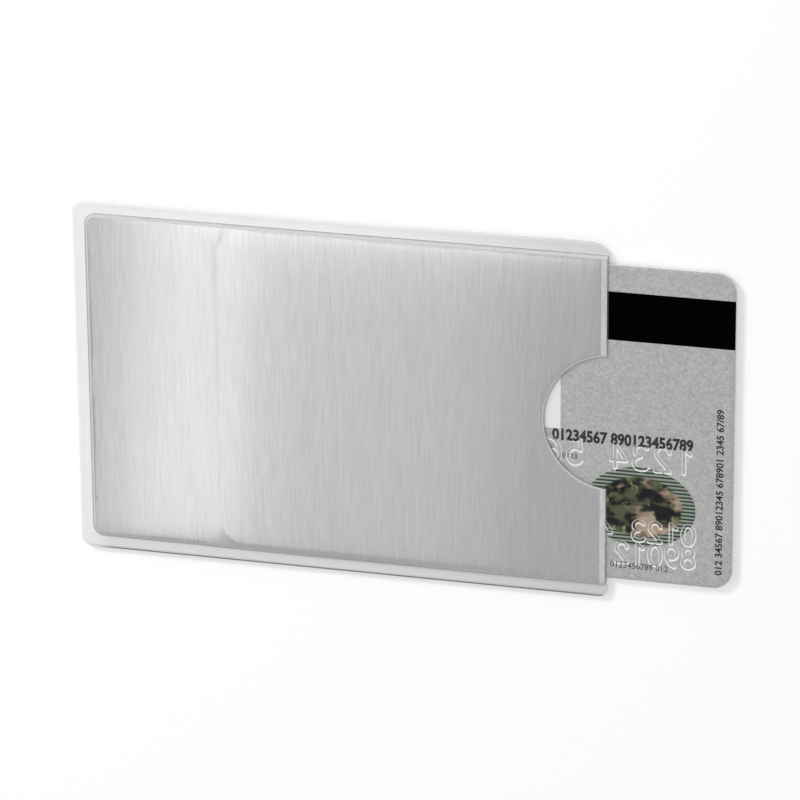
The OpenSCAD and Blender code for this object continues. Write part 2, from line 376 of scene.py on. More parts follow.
# %% The press
# Heights and reaches in millimetres. Each face gives its own Side, Sag, Shoulder and Print.
PRESS_SIZES = {
    "Side": 1.0,
    "Depth": 0.0,
    "Thickness": film_thickness,
    "Bead": 0.0,
    "Crown": 0.045,
    "Crown reach": 1.2,
    "Shoulder": 0.0,
    "Shoulder reach": 8.3,
    "Sag": 0.0,
    "Sag reach": 8.8,
    "Print": 0.0,
    "Print reach": 0.8,
    "Mouth dip": 0.10,
    "Mouth reach": 12.0,
    "Ripple": 0.012,
    "Seed": 4.0,
}
EASING = 0.25
BEAD_INSET = 0.5
BEAD_WIDTH = 0.22
RIPPLE_SCALE = 0.07


def press_tree():
    """The tree that gives a flat sheet the height of a pressed face."""
    tree = bpy.data.node_groups.new("press a face", "GeometryNodeTree")
    tree.interface.new_socket("Geometry", in_out="INPUT", socket_type="NodeSocketGeometry")
    for name, value in PRESS_SIZES.items():
        socket = tree.interface.new_socket(name, in_out="INPUT", socket_type="NodeSocketFloat")
        socket.default_value = value
    tree.interface.new_socket("Material", in_out="INPUT", socket_type="NodeSocketMaterial")
    tree.interface.new_socket("Geometry", in_out="OUTPUT", socket_type="NodeSocketGeometry")
    given = tree.nodes.new("NodeGroupInput")
    size = {name: Field(tree, given.outputs[name]) for name in PRESS_SIZES}

    place = tree.nodes.new("ShaderNodeSeparateXYZ")
    tree.links.new(tree.nodes.new("GeometryNodeInputPosition").outputs[0], place.inputs[0])
    x, y = Field(tree, place.outputs["X"]), Field(tree, place.outputs["Y"])
    noted = tree.nodes.new("GeometryNodeInputNamedAttribute")
    noted.data_type = "FLOAT"
    noted.inputs["Name"].default_value = "through"
    through = Field(tree, noted.outputs["Attribute"])

    from_end, from_side = x - end_x, edge_y - y.size()
    inset = rounded_inset(from_end, from_side, fold_reach)
    edge_inset = rounded_inset(from_end, from_side, film_corners[2])
    slope = inset.rise(weld_width, weld_width + slope_width)
    flat_at = weld_width + slope_width
    crown = (from_side - flat_at).least(0.0).settling(size["Crown reach"])
    end_crown = (from_end - flat_at).least(0.0).settling(size["Crown reach"])

    past_x = (card_end + card_corner - x).least(0.0)
    past_y = (y.size() - (card_high.y - card_corner)).least(0.0)
    past_card = long_side(past_x, past_y) - card_corner
    eased = long_side(past_card.least(0.0), EASING) - EASING
    over_card = (x - card_end).least(0.0)
    shoulder = size["Shoulder"] * (1.0 - over_card.settling(size["Shoulder reach"]))
    sag = shoulder + (size["Sag"] - shoulder) * eased.settling(size["Sag reach"])
    sag = sag + size["Print"] * eased.settling(size["Print reach"])

    ripple = tree.nodes.new("ShaderNodeTexNoise")
    ripple.noise_dimensions = "4D"
    ripple.inputs["Scale"].default_value = RIPPLE_SCALE
    ripple.inputs["Detail"].default_value = 2.0
    feed(tree, size["Seed"], ripple.inputs["W"])
    ripple = (Field(tree, ripple.outputs[0]) - 0.5) * size["Ripple"] * crown * end_crown

    dip = size["Mouth dip"] * (1.0 - (mouth_x - x).settling(size["Mouth reach"]))
    face = full_rise - size["Crown"] + size["Crown"] * crown - sag - dip + ripple
    height = rim_rise + slope * (face - rim_rise) - size["Depth"]
    bead = size["Bead"] * edge_inset.bump_at(BEAD_INSET, BEAD_WIDTH)
    height = height + through * (size["Thickness"] + bead)
    height = middle + size["Side"] * height

    pressed = tree.nodes.new("ShaderNodeCombineXYZ")
    for field, pin in zip((x, y, height), pressed.inputs):
        feed(tree, field, pin)
    moved = tree.nodes.new("GeometryNodeSetPosition")
    tree.links.new(given.outputs["Geometry"], moved.inputs["Geometry"])
    tree.links.new(pressed.outputs[0], moved.inputs["Position"])
    end_tree(tree, given, moved.outputs[0])
    return tree


def rounded_inset(from_end, from_side, reach):
    """Distance from the welded edges as a field, with corners rounded to the reach."""
    return reach - long_side((reach - from_end).least(0.0), (reach - from_side).least(0.0))


def end_tree(tree, given, shape):
    """Ends a tree with real geometry that carries its material."""
    real = tree.nodes.new("GeometryNodeRealizeInstances")
    coloured = tree.nodes.new("GeometryNodeSetMaterial")
    given_back = tree.nodes.new("NodeGroupOutput")
    tree.links.new(shape, real.inputs[0])
    tree.links.new(real.outputs[0], coloured.inputs["Geometry"])
    tree.links.new(given.outputs["Material"], coloured.inputs["Material"])
    tree.links.new(coloured.outputs[0], given_back.inputs[0])


def run_tree(piece, tree, values):
    """Runs a tree on a piece and keeps the result as its plain mesh."""
    modifier = piece.modifiers.new(tree.name, "NODES")
    modifier.node_group = tree
    for item in tree.interface.items_tree:
        if item.in_out == "INPUT" and item.name in values:
            modifier[item.identifier] = values[item.name]
    settled = piece.evaluated_get(bpy.context.evaluated_depsgraph_get())
    mesh = bpy.data.meshes.new_from_object(settled)
    piece.modifiers.remove(modifier)
    blank, piece.data = piece.data, mesh
    bpy.data.meshes.remove(blank)
    mesh.name = piece.name


PRESS = press_tree()
print("The press has", len(PRESS.nodes), "nodes")

# %% [markdown]
# Finishes come before the pieces, because a press tree sets its material itself. Each is
# a small node tree on Object coordinates, turned to millimetres so that a pattern's scale
# can be read as a real size.


# %% Helpers for finishes
def new_finish(name, **settings):
    """A material, its tree and its main shader, with plain settings on its pins."""
    material = bpy.data.materials.new(name)
    material.use_nodes = True
    tree = material.node_tree
    shader = tree.nodes["Principled BSDF"]
    for pin, value in settings.items():
        shader.inputs[pin.replace("_", " ")].default_value = value
    return material, tree, shader


def own_place(tree, size, shift=(0.0, 0.0, 0.0)):
    """The piece's own coordinates, with the millimetres that one unit takes on each axis."""
    place = tree.nodes.new("ShaderNodeTexCoord")
    scaled = tree.nodes.new("ShaderNodeMapping")
    scaled.inputs["Scale"].default_value = [1 / (MM * side) for side in size]
    scaled.inputs["Location"].default_value = shift
    tree.links.new(place.outputs["Object"], scaled.inputs[0])
    return scaled.outputs[0]


def pattern(tree, size, detail=2.0, seed=0.0):
    """Noise on the piece, with the size of its blotches in millimetres along x, y, z."""
    noise = tree.nodes.new("ShaderNodeTexNoise")
    noise.inputs["Scale"].default_value = 1.0
    noise.inputs["Detail"].default_value = detail
    tree.links.new(own_place(tree, size, (seed, seed * 2, seed * 3)), noise.inputs["Vector"])
    return Field(tree, noise.outputs["Fac"])


def grey(value, tint=(1.0, 1.0, 1.0)):
    """A grey as a colour of four parts, with a tint if one is given."""
    return tuple(value * part for part in tint) + (1.0,)


def shade(tree, amount, dark, light):
    """A colour between two, by a field from 0 to 1."""
    node = tree.nodes.new("ShaderNodeMix")
    node.data_type = "RGBA"
    feed(tree, amount, node.inputs["Factor"])
    # The colour pins of this node come after its pins for numbers and for vectors
    for pin, colour in zip((node.inputs[6], node.inputs[7]), (dark, light)):
        feed(tree, colour, pin)
    return node.outputs[2]


def mixed_shader(tree, share, first, second):
    """A shader that goes from the first to the second as the share goes from 0 to 1."""
    node = tree.nodes.new("ShaderNodeMixShader")
    feed(tree, share, node.inputs[0])
    tree.links.new(first.outputs[0], node.inputs[1])
    tree.links.new(second.outputs[0], node.inputs[2])
    return node


def roughen(tree, shader, height, distance):
    """Bumps a surface by a field, with its height in millimetres."""
    node = tree.nodes.new("ShaderNodeBump")
    node.inputs["Distance"].default_value = distance * MM
    feed(tree, height, node.inputs["Height"])
    tree.links.new(node.outputs[0], shader.inputs["Normal"])


# %% [markdown]
# The foil is rolled metal with a fine grain across the sleeve. The grain spreads a
# reflection at right angles to itself, so the shader is anisotropic along x, and long
# narrow noise varies colour, roughness and height from streak to streak.


# %% Foil
def brushed_foil():
    material, tree, shader = new_finish(
        "brushed_foil", Metallic=1.0, Anisotropic=0.3, Roughness=0.2)
    fine = pattern(tree, (0.17, 5.0, 6.0), detail=2.5)
    broad = pattern(tree, (3.0, 22.0, 6.0), detail=1.0, seed=7.0)
    streak = fine * 0.8 + broad * 0.2
    colour = shade(tree, streak.rise(0.2, 0.8), grey(0.71), grey(0.83, (1.0, 1.0, 1.01)))
    tree.links.new(colour, shader.inputs["Base Color"])
    feed(tree, 0.165 + streak * 0.03, shader.inputs["Roughness"])
    roughen(tree, shader, fine, 0.0012)
    grain = tree.nodes.new("ShaderNodeTangent")
    grain.direction_type = "UV_MAP"
    grain.uv_map = "grain"
    tree.links.new(grain.outputs[0], shader.inputs["Tangent"])
    return material


# %% [markdown]
# The film is clear plastic, a sixth of a millimetre thick. True refraction would hide
# the lamps from everything under it, so the film lets light straight through and adds
# its gloss on top, more of it at a slant. Where the two films are fused, the heat has
# turned the plastic milky, so the haze grows from a trace to most of the surface there.
# Along the lower weld and towards the mouth the haze is thinner, a painted shade that
# darkens the rim there, and the lower cut edge is painted dark as painted shade.
# Only the outer side is glossy, because the inner one would mirror the film's own inside.


# %% Clear film
# Widths in millimetres, then shares of haze, and how much haze the weld loses lower down
# and towards the mouth, a painted shade that darkens the rim there
SHADED_EDGE_WIDTH = 0.20
FUSED_FADE = 0.15
FILM_HAZE = 0.03
FUSED_HAZE = 0.80
LOWER_HAZE_SHADE = 0.45
MOUTH_HAZE_SHADE = 0.55
PLASTIC_IOR = 1.5


def plan_of(tree):
    """The piece's own x and y in millimetres."""
    split = tree.nodes.new("ShaderNodeSeparateXYZ")
    tree.links.new(own_place(tree, (1, 1, 1)), split.inputs[0])
    return Field(tree, split.outputs[0]), Field(tree, split.outputs[1])


def lower_share(x, y):
    """1 along the lower weld, which fades out at its end corner."""
    lower = (y * -1.0).rise(edge_y - weld_width - 1.0, edge_y - weld_width)
    return lower * (x - end_x).rise(0.5, 6.0)


def fused_share(tree):
    """1 on the welded rim and 0 on the raised face, and less along the lower weld and towards the mouth,
    as painted shade.
    """
    x, y = plan_of(tree)
    inset = rounded_inset(x - end_x, edge_y - y.size(), fold_reach)
    # Less haze along the lower weld and towards the mouth: painted shade on the rim.
    haze_kept_in_shade = (1.0 - LOWER_HAZE_SHADE * lower_share(x, y)) * (1.0 - MOUTH_HAZE_SHADE * mouth_share(x))
    return (1.0 - inset.rise(weld_width - 0.05, weld_width + FUSED_FADE)) * haze_kept_in_shade


def mouth_share(x):
    """Goes from 0 to 1 along the sleeve's last stretch, towards the mouth."""
    return x.rise(0.0, mouth_x + 5.0)


def painted_edge_shade(tree):
    """1 on the cut edge of the lower weld, which is painted dark as painted shade, since it faces away
    from the light.
    """
    x, y = plan_of(tree)
    inset = rounded_inset(x - end_x, edge_y - y.size(), film_corners[2])
    return lower_share(x, y) * (1.0 - inset.rise(SHADED_EDGE_WIDTH, SHADED_EDGE_WIDTH + 0.15))


def clear_film():
    material, tree, shader = new_finish("clear_film", Roughness=0.3, IOR=PLASTIC_IOR)
    scuffs = pattern(tree, (0.5, 4.0, 1.0), detail=4.0, seed=3.0)
    cloud = pattern(tree, (2.5, 2.5, 2.5), detail=3.0, seed=9.0)
    gloss = tree.nodes.new("ShaderNodeBsdfGlossy")
    feed(tree, 0.08 + scuffs.rise(0.45, 0.75) * 0.14, gloss.inputs["Roughness"])
    clear = tree.nodes.new("ShaderNodeBsdfTransparent")
    clear.inputs["Color"].default_value = grey(0.99)
    slant = tree.nodes.new("ShaderNodeFresnel")
    slant.inputs["IOR"].default_value = PLASTIC_IOR
    facing = tree.nodes.new("ShaderNodeNewGeometry")
    outer = 1.0 - Field(tree, facing.outputs["Backfacing"])
    skin = mixed_shader(tree, outer * Field(tree, slant.outputs[0]), clear, gloss)
    milky = fused_share(tree) * (FUSED_HAZE - 0.1 * cloud)
    edge_shade = painted_edge_shade(tree)
    # The lower weld's cut edge is painted dark grey: painted shade.
    tree.links.new(shade(tree, edge_shade, grey(0.92), grey(0.18)), shader.inputs["Base Color"])
    haze = mixed_shader(tree, (FILM_HAZE + milky + edge_shade).step("MINIMUM", 1.0), skin, shader)
    tree.links.new(haze.outputs[0], tree.nodes["Material Output"].inputs["Surface"])
    return material


# %% [markdown]
# The liner is a smooth grey paper, seen only as the thin line on the slope. The fused
# layer is milky plastic, so it is nearly white with a satin surface. Along the lower
# weld and towards the mouth it is painted greyer, as painted shade.


# %% Liner and weld
def liner_paper():
    material, tree, shader = new_finish("liner_paper", Roughness=0.6)
    fibre = pattern(tree, (0.3, 0.9, 0.3), detail=5.0)
    colour = shade(tree, fibre.rise(0.3, 0.7), grey(0.54), grey(0.64))
    tree.links.new(colour, shader.inputs["Base Color"])
    roughen(tree, shader, fibre, 0.01)
    return material


def milky_weld():
    material, tree, shader = new_finish("milky_weld", Roughness=0.35)
    cloud = pattern(tree, (3.0, 3.0, 3.0), detail=3.0)
    light = shade(tree, cloud.rise(0.3, 0.7), grey(0.84), grey(0.90))
    x, y = plan_of(tree)
    # The weld is painted greyer along the lower edge and towards the mouth: painted shade.
    painted_shade = (lower_share(x, y) + mouth_share(x)).step("MINIMUM", 1.0)
    whole = shade(tree, painted_shade, light, grey(0.60))
    tree.links.new(whole, shader.inputs["Base Color"])
    feed(tree, 0.3 + cloud * 0.12, shader.inputs["Roughness"])
    return material


# %% [markdown]
# The card's silver is a print with fine metal flakes under a satin laminate. Small cells
# of slightly different grey give the sparkle. Where the card is embossed, the walls of
# the strokes are painted near white as a painted highlight, where the walls catch the
# light, and the mesh notes how much in an attribute.


# %% Card finishes
def stretch_of(tree):
    # The painted highlight on the walls of the embossing, as the mesh notes it.
    noted = tree.nodes.new("ShaderNodeAttribute")
    noted.attribute_name = "stretch"
    return Field(tree, noted.outputs["Fac"])


def flakes(tree, size, seed=0.0):
    """Small cells, each with one random value from 0 to 1."""
    cells = tree.nodes.new("ShaderNodeTexVoronoi")
    cells.inputs["Scale"].default_value = 1.0
    split = tree.nodes.new("ShaderNodeSeparateColor")
    tree.links.new(own_place(tree, [size] * 3, [seed] * 3), cells.inputs["Vector"])
    tree.links.new(cells.outputs["Color"], split.inputs[0])
    return Field(tree, split.outputs[0])


def silver_print():
    material, tree, shader = new_finish(
        "silver_print", Metallic=0.35, Roughness=0.45, Coat_Weight=0.25, Coat_Roughness=0.3)
    sparkle = flakes(tree, 0.22) * 0.6 + flakes(tree, 0.5, seed=5.0) * 0.4
    silver = shade(tree, sparkle, grey(0.38), grey(0.58))
    # The walls of the embossing are painted near white: a painted highlight.
    white = shade(tree, stretch_of(tree).rise(0.15, 0.8), silver, grey(0.95))
    tree.links.new(white, shader.inputs["Base Color"])
    feed(tree, 0.38 + sparkle * 0.14, shader.inputs["Roughness"])
    return material


def plain_plastic(name, colour, roughness, size=0.4, depth=0.004, change=0.08, metallic=0.0, shine=0.5):
    """Moulded or printed plastic: one colour with slight clouds and a fine tooth."""
    material, tree, shader = new_finish(name, Metallic=metallic, Roughness=roughness)
    shader.inputs["Specular IOR Level"].default_value = shine
    cloud = pattern(tree, (size, size, size), detail=4.0)
    dark = tuple(part * (1 - change) for part in colour) + (1.0,)
    light = tuple(part * (1 + change) for part in colour) + (1.0,)
    tree.links.new(shade(tree, cloud.rise(0.3, 0.7), dark, light), shader.inputs["Base Color"])
    feed(tree, roughness - 0.05 + cloud * 0.1, shader.inputs["Roughness"])
    roughen(tree, shader, cloud, depth)
    return material


# %% [markdown]
# The oval patch is a printed metal foil. Its rim holds fine level lines, and its middle
# a quiet pattern of leaf-like clouds in dark green, olive and tan, made up for this part.


# %% Patch finish
def patch_print():
    material, tree, shader = new_finish("patch_print", Metallic=0.45, Roughness=0.35)
    half = patch_half * MM
    place = tree.nodes.new("ShaderNodeTexCoord")
    moved = tree.nodes.new("ShaderNodeMapping")
    moved.vector_type = "TEXTURE"
    moved.inputs["Location"].default_value = patch_centre * MM
    tree.links.new(place.outputs["Object"], moved.inputs[0])
    split = tree.nodes.new("ShaderNodeSeparateXYZ")
    tree.links.new(moved.outputs[0], split.inputs[0])
    x, y = Field(tree, split.outputs[0]), Field(tree, split.outputs[1])
    from_middle = long_side(x / half.x, y / half.y)

    lines = (y * (2 * math.pi / (0.62 * MM))).step("SINE") * 0.5 + 0.5
    rim = shade(tree, lines.rise(0.35, 0.65), (0.035, 0.06, 0.045, 1), (0.34, 0.38, 0.32, 1))
    leaf = pattern(tree, (2.2, 1.6, 2.0), detail=5.0, seed=21.0)
    warm = pattern(tree, (4.6, 3.4, 3.0), detail=4.5, seed=35.0)
    pale = pattern(tree, (1.6, 2.4, 2.0), detail=5.0, seed=52.0)
    ground = shade(tree, leaf.rise(0.40, 0.62), (0.008, 0.009, 0.010, 1), (0.10, 0.115, 0.06, 1))
    ground = shade(tree, pale.rise(0.56, 0.70), ground, (0.40, 0.42, 0.22, 1))
    middle_print = shade(tree, warm.rise(0.50, 0.66), ground, (0.52, 0.38, 0.29, 1))
    whole = shade(tree, from_middle.rise(0.72, 0.80), middle_print, rim)
    # The walls of the embossing are painted near white here too: a painted highlight.
    white = shade(tree, stretch_of(tree).rise(0.15, 0.8), whole, grey(0.95))
    tree.links.new(white, shader.inputs["Base Color"])
    return material

# %% [markdown]
# Each finish is made once and shared by the pieces that have it. The inside of the card
# hardly shows, so plain plastic and plain metal are enough there.

# %% Make the finishes
FOIL = brushed_foil()
FILM = clear_film()
LINER = liner_paper()
WELD = milky_weld()
SILVER = silver_print()
SHEET = plain_plastic("card_core", (0.62, 0.63, 0.64), 0.5)
INLAY = plain_plastic("inlay_film", (0.80, 0.80, 0.78), 0.55)
COPPER = plain_plastic("etched_copper", (0.72, 0.40, 0.26), 0.35, metallic=1.0)
PLATING = plain_plastic("plated_pads", (0.80, 0.64, 0.36), 0.3, metallic=1.0)
RESIN = plain_plastic("chip_resin", (0.03, 0.03, 0.033), 0.6)
BLACK = plain_plastic("stripe_black", (0.001, 0.001, 0.0012), 0.7, change=0.4, shine=0.0)
PANEL = plain_plastic("panel_white", (0.75, 0.75, 0.735), 0.7, size=0.2)
INK = plain_plastic("dark_print", (0.02, 0.02, 0.022), 0.55)
PATCH = patch_print()
print("Finishes made:", len(bpy.data.materials))

# %% [markdown]
# Now the six sheets of the two faces. Front and rear differ by the sign of their height
# and by a shallower sag at the rear, where the sleeve lies flat.


# %% Press the sheets of both faces
def sheet_points(low, high, corners, grow, margin):
    """The shared points that lie well inside one sheet."""
    return SLEEVE_POINTS[clearance(SLEEVE_POINTS, low, high, corners, grow) > margin]


def face_piece(name, low, high, corners, grow, material, edge, **values):
    """One pressed sheet of a face, from its outline to its mesh."""
    outline = sleeve_outline(low, high, corners, grow)
    blank = cut_blank(name, outline, sheet_points(low, high, corners, grow, edge + 0.06), edge)
    run_tree(blank, PRESS, {**values, "Material": material})
    return blank


def add_grain(piece):
    """A plan of the sheet as its UV map, which tells the shader where x runs."""
    plan = piece.data.uv_layers.new(name="grain")
    points = np.empty(len(piece.data.vertices) * 3)
    corners = np.empty(len(piece.data.loops), dtype=int)
    piece.data.vertices.foreach_get("co", points)
    piece.data.loops.foreach_get("vertex_index", corners)
    flat = points.reshape(-1, 3)[corners, :2] / 100 + 0.5
    plan.data.foreach_set("uv", flat.ravel())


# Strips of film that the foil leaves bare, the air between two sheets, and a hair of play
# between film and weld
MOUTH_STRIP = 1.3
NOTCH_STRIP = 0.55
LAYER_GAP = 0.01
FILM_LIFT = 0.004
FRONT_SAG = 0.275
REAR_SAG = 0.10
inner_corners = (0.1, 0.1, face_corner)
liner_corners = (0.1, 0.1, face_corner + foil_low.x - liner_low.x)
notch_lip = mouth_x - foil_high.x
foil_mouth = Vector((mouth_x - MOUTH_STRIP, foil_high.y, foil_high.z))
foil_depth = LAYER_GAP + foil_thickness
liner_depth = 2 * LAYER_GAP + foil_thickness + liner_thickness

for side, sign, sag in (("front", 1.0, FRONT_SAG), ("rear", -1.0, REAR_SAG)):
    drape = {"Side": sign, "Sag": sag, "Shoulder": sag / 2, "Print": sag / 8}
    film = face_piece(side + "_film_pressed", film_low, film_high, film_corners, 0.0,
                      FILM, 0.05, Depth=-FILM_LIFT, Bead=0.05, **drape)
    settle(film, "sleeve", "clear_film", side + "_film")
    foil = face_piece(side + "_foil_pressed", foil_low, foil_mouth, inner_corners, NOTCH_STRIP,
                      FOIL, 0.02, Depth=foil_depth, Thickness=foil_thickness, **drape)
    add_grain(foil)
    settle(foil, "sleeve", "shield_foil", side + "_foil")
    liner = face_piece(side + "_liner_pressed", liner_low, liner_high, liner_corners, notch_lip,
                       LINER, 0.03, Depth=liner_depth, Thickness=liner_thickness, **drape)
    settle(liner, "sleeve", "liner", side + "_liner")

# %% [markdown]
# The card was embossed from its front, so its back shows the characters sunken and
# reversed. Each digit is a few strokes in a box one high, and the sheet sinks by its
# distance to the nearest stroke: flat along the stroke, then a short wall.

# %% Strokes of the embossed digits
def oval(centre, half_width, half_height, start, end, steps=14):
    """Points on an oval arc in a digit's box."""
    return arc((0, 0), 1, start, end, steps) * [half_width, half_height] + np.array(centre)


def polyline(*points):
    return np.array(points, dtype=float)


DIGITS = {
    "0": [oval((0.30, 0.50), 0.28, 0.50, 0, 360, 24)],
    "1": [polyline((0.10, 0.78), (0.34, 1.0), (0.34, 0.0))],
    "2": [np.vstack([oval((0.30, 0.72), 0.26, 0.28, 170, -35), polyline((0.03, 0.0), (0.58, 0.0))])],
    "3": [np.vstack([oval((0.28, 0.76), 0.25, 0.24, 150, -80), oval((0.28, 0.26), 0.29, 0.26, 85, -150)])],
    "4": [polyline((0.44, 0.0), (0.44, 1.0), (0.02, 0.30), (0.60, 0.30))],
    "5": [np.vstack([polyline((0.54, 1.0), (0.10, 1.0), (0.07, 0.56)),
                     oval((0.29, 0.32), 0.28, 0.32, 120, -145)])],
    "6": [oval((0.30, 0.30), 0.27, 0.30, 0, 360, 20), oval((0.48, 0.36), 0.45, 0.64, 95, 172)],
    "7": [polyline((0.03, 1.0), (0.57, 1.0), (0.22, 0.0))],
    "8": [oval((0.30, 0.76), 0.23, 0.24, 0, 360, 18), oval((0.30, 0.26), 0.28, 0.26, 0, 360, 20)],
}
DIGITS["9"] = [np.array([0.60, 1.0]) - stroke for stroke in DIGITS["6"]]

# Each row: its digits, the right end of its first digit, its foot, height and pitch
EMBOSSED_ROWS = (
    ("1234 5678 9012 3456", 58.9, -7.6, 4.2, 3.63),
    ("0123 4567", 59.4, -20.0, 3.4, 2.75),
    ("89012 345", 59.4, -24.0, 3.4, 2.75),
)
# Half the width of a stroke's floor, the width of its wall and its depth
STROKE_HALF = 0.17
WALL = 0.26
EMBOSS_DEPTH = 0.16


def embossed_strokes():
    """Every stroke on the card, reversed, as a list of point rows in millimetres."""
    strokes = []
    for text, right, foot, height, pitch in EMBOSSED_ROWS:
        for place, character in enumerate(text):
            for stroke in DIGITS.get(character, []):
                plan = stroke * height
                strokes.append(np.array([right - place * pitch, foot]) + plan * [-1, 1])
    return strokes


STROKES = embossed_strokes()
print("Embossed strokes:", len(STROKES))

# %% [markdown]
# The depth at a point follows from its distance to the nearest stroke. The sheets get
# close points beside the strokes and wide ones elsewhere, which keeps the rest light.


# %% Depth of the embossing
CLOSE_BAND = 0.12
OPEN_BAND = 0.3


def stroke_distance(points):
    """Distance from each point to the nearest stroke, or a large value far from all."""
    nearest = np.full(len(points), 9.0)
    for stroke in STROKES:
        low, high = stroke.min(0) - 1, stroke.max(0) + 1
        near = np.flatnonzero(np.all((points > low) & (points < high), axis=1))
        if len(near) == 0:
            continue
        here = points[near][:, None, :]
        start, run = stroke[:-1], np.diff(stroke, axis=0)
        share = ((here - start) * run).sum(2) / (run ** 2).sum(1)
        foot = start + np.clip(share, 0, 1)[:, :, None] * run
        gap = np.sqrt(((here - foot) ** 2).sum(2)).min(1)
        nearest[near] = np.minimum(nearest[near], gap)
    return nearest


def wall_share(points):
    """0 on the flat card and 1 on the floor of a stroke."""
    share = np.clip((STROKE_HALF + WALL - stroke_distance(points)) / WALL, 0, 1)
    return share * share * (3 - 2 * share)


def grid_points(low, high, step):
    stations_x = np.arange(low.x + step / 2, high.x, step)
    stations_y = np.arange(low.y + step / 2, high.y, step)
    return np.stack(np.meshgrid(stations_x, stations_y), -1).reshape(-1, 2)


def emboss_points(low, high, fine, coarse):
    """A coarse grid, with a fine one beside the strokes."""
    close = grid_points(low, high, fine)
    close = close[stroke_distance(close) < STROKE_HALF + WALL + CLOSE_BAND]
    far = grid_points(low, high, coarse)
    far = far[stroke_distance(far) > STROKE_HALF + WALL + OPEN_BAND]
    return np.vstack([close, far])


def card_outline(inset):
    """The card's outline, drawn in by the inset."""
    x0, x1, y1 = card_low.x + inset, card_high.x - inset, card_high.y - inset
    corner = card_corner - inset
    return np.vstack([
        arc((x1 - corner, corner - y1), corner, -90, 0, 20),
        straight((x1, corner - y1), (x1, y1 - corner), SIDE_SHARES),
        arc((x1 - corner, y1 - corner), corner, 0, 90, 20),
        straight((x1 - corner, y1), (x0 + corner, y1), SIDE_SHARES),
        arc((x0 + corner, y1 - corner), corner, 90, 180, 20),
        straight((x0, y1 - corner), (x0, corner - y1), SIDE_SHARES),
        arc((x0 + corner, corner - y1), corner, 180, 270, 20),
        straight((x0 + corner, -y1), (x1 - corner, -y1), SIDE_SHARES),
    ])


def inside_card(points, margin):
    over = np.abs(points - [(card_low.x + card_high.x) / 2, 0])
    over -= [(card_high.x - card_low.x) / 2 - card_corner, card_high.y - card_corner]
    return card_corner - np.hypot(*np.maximum(over, 0).T) > margin


# %% [markdown]
# The three sheets that the embossing reaches are cut like the films, then lowered by the
# depth at each point. The sheet under the back is dented from above only, and the front
# laminate stands proud on its outer side only.


# %% Emboss the card's sheets
def emboss(piece, low_z, high_z, sink_low, sink_high):
    """Gives a blank its two heights, sinks each side by its own share and notes where the walls get a
    painted highlight.
    """
    mesh = piece.data
    points = np.empty(len(mesh.vertices) * 3)
    mesh.vertices.foreach_get("co", points)
    points = points.reshape(-1, 3)
    through = points[:, 2].copy()
    share = wall_share(points[:, :2])
    sink = sink_low + (sink_high - sink_low) * through
    points[:, 2] = low_z + (high_z - low_z) * through - sink * share
    mesh.vertices.foreach_set("co", points.ravel())
    note = mesh.attributes.new("stretch", "FLOAT", "POINT")
    note.data.foreach_set("value", 4 * share * (1 - share))


def card_piece(name, node, fine, coarse, edge, sink_low, sink_high, material, slot):
    low, high = box_mm(node)
    points = emboss_points(low, high, fine, coarse)
    blank = cut_blank(name, card_outline, points[inside_card(points, edge + 0.1)], edge)
    emboss(blank, low.z, high.z, sink_low, sink_high)
    blank.data.materials.append(material)
    settle(blank, "card", slot, node)


card_piece("back_overlay_embossed", "card_back_overlay", 0.11, 1.2, 0.025,
           EMBOSS_DEPTH, EMBOSS_DEPTH, SILVER, "card_overlay")
card_piece("back_sheet_embossed", "card_back_sheet", 0.2, 1.6, 0.01,
           0.0, EMBOSS_DEPTH + 0.01, SHEET, "card_sheet")
card_piece("front_overlay_embossed", "card_front_overlay", 0.2, 1.6, 0.025,
           EMBOSS_DEPTH, 0.0, SILVER, "card_overlay")

# %% [markdown]
# The patch was stamped on before the embossing, so the digits run through it. It is a
# thin oval blank, sunk by the same rule as the card's sheets.


# %% Emboss the oval patch
def patch_outline(inset):
    """The patch's outline, drawn in by the inset."""
    return oval(patch_centre[:2], patch_half.x - inset, patch_half.y - inset, 0, 360, 120)[:-1]


def inside_patch(points, margin):
    """Which points lie inside the patch by more than the margin."""
    share = (points - np.array(patch_centre[:2])) / [patch_half.x - margin, patch_half.y - margin]
    return np.hypot(*share.T) < 1


patch_points = emboss_points(patch_low, patch_high, 0.11, 0.8)
patch_points = patch_points[inside_patch(patch_points, 0.15)]
patch = cut_blank("patch_embossed", patch_outline, patch_points, 0.01)
emboss(patch, patch_low.z, patch_high.z, EMBOSS_DEPTH, EMBOSS_DEPTH)
patch.data.materials.append(PATCH)
settle(patch, "card", "patch_foil", "hologram_patch")

# %% [markdown]
# The small prints are rows of plain digits. A text object gives their outlines, and its
# mesh is then cut by a fine grid, so that a print can follow the embossing under it.


# %% Prints on the card
INK_THICKNESS = 0.008


def cut_by_grid(work, step):
    """Slices a flat mesh along x and y, so that no face is longer than the step."""
    low = Vector([min(vertex.co[axis] for vertex in work.verts) for axis in range(2)])
    high = Vector([max(vertex.co[axis] for vertex in work.verts) for axis in range(2)])
    for axis, normal in ((0, (1, 0, 0)), (1, (0, 1, 0))):
        for station in np.arange(low[axis] + step, high[axis], step):
            point = [station if side == axis else 0 for side in range(3)]
            everything = work.verts[:] + work.edges[:] + work.faces[:]
            bmesh.ops.bisect_plane(work, geom=everything, plane_co=point, plane_no=normal)


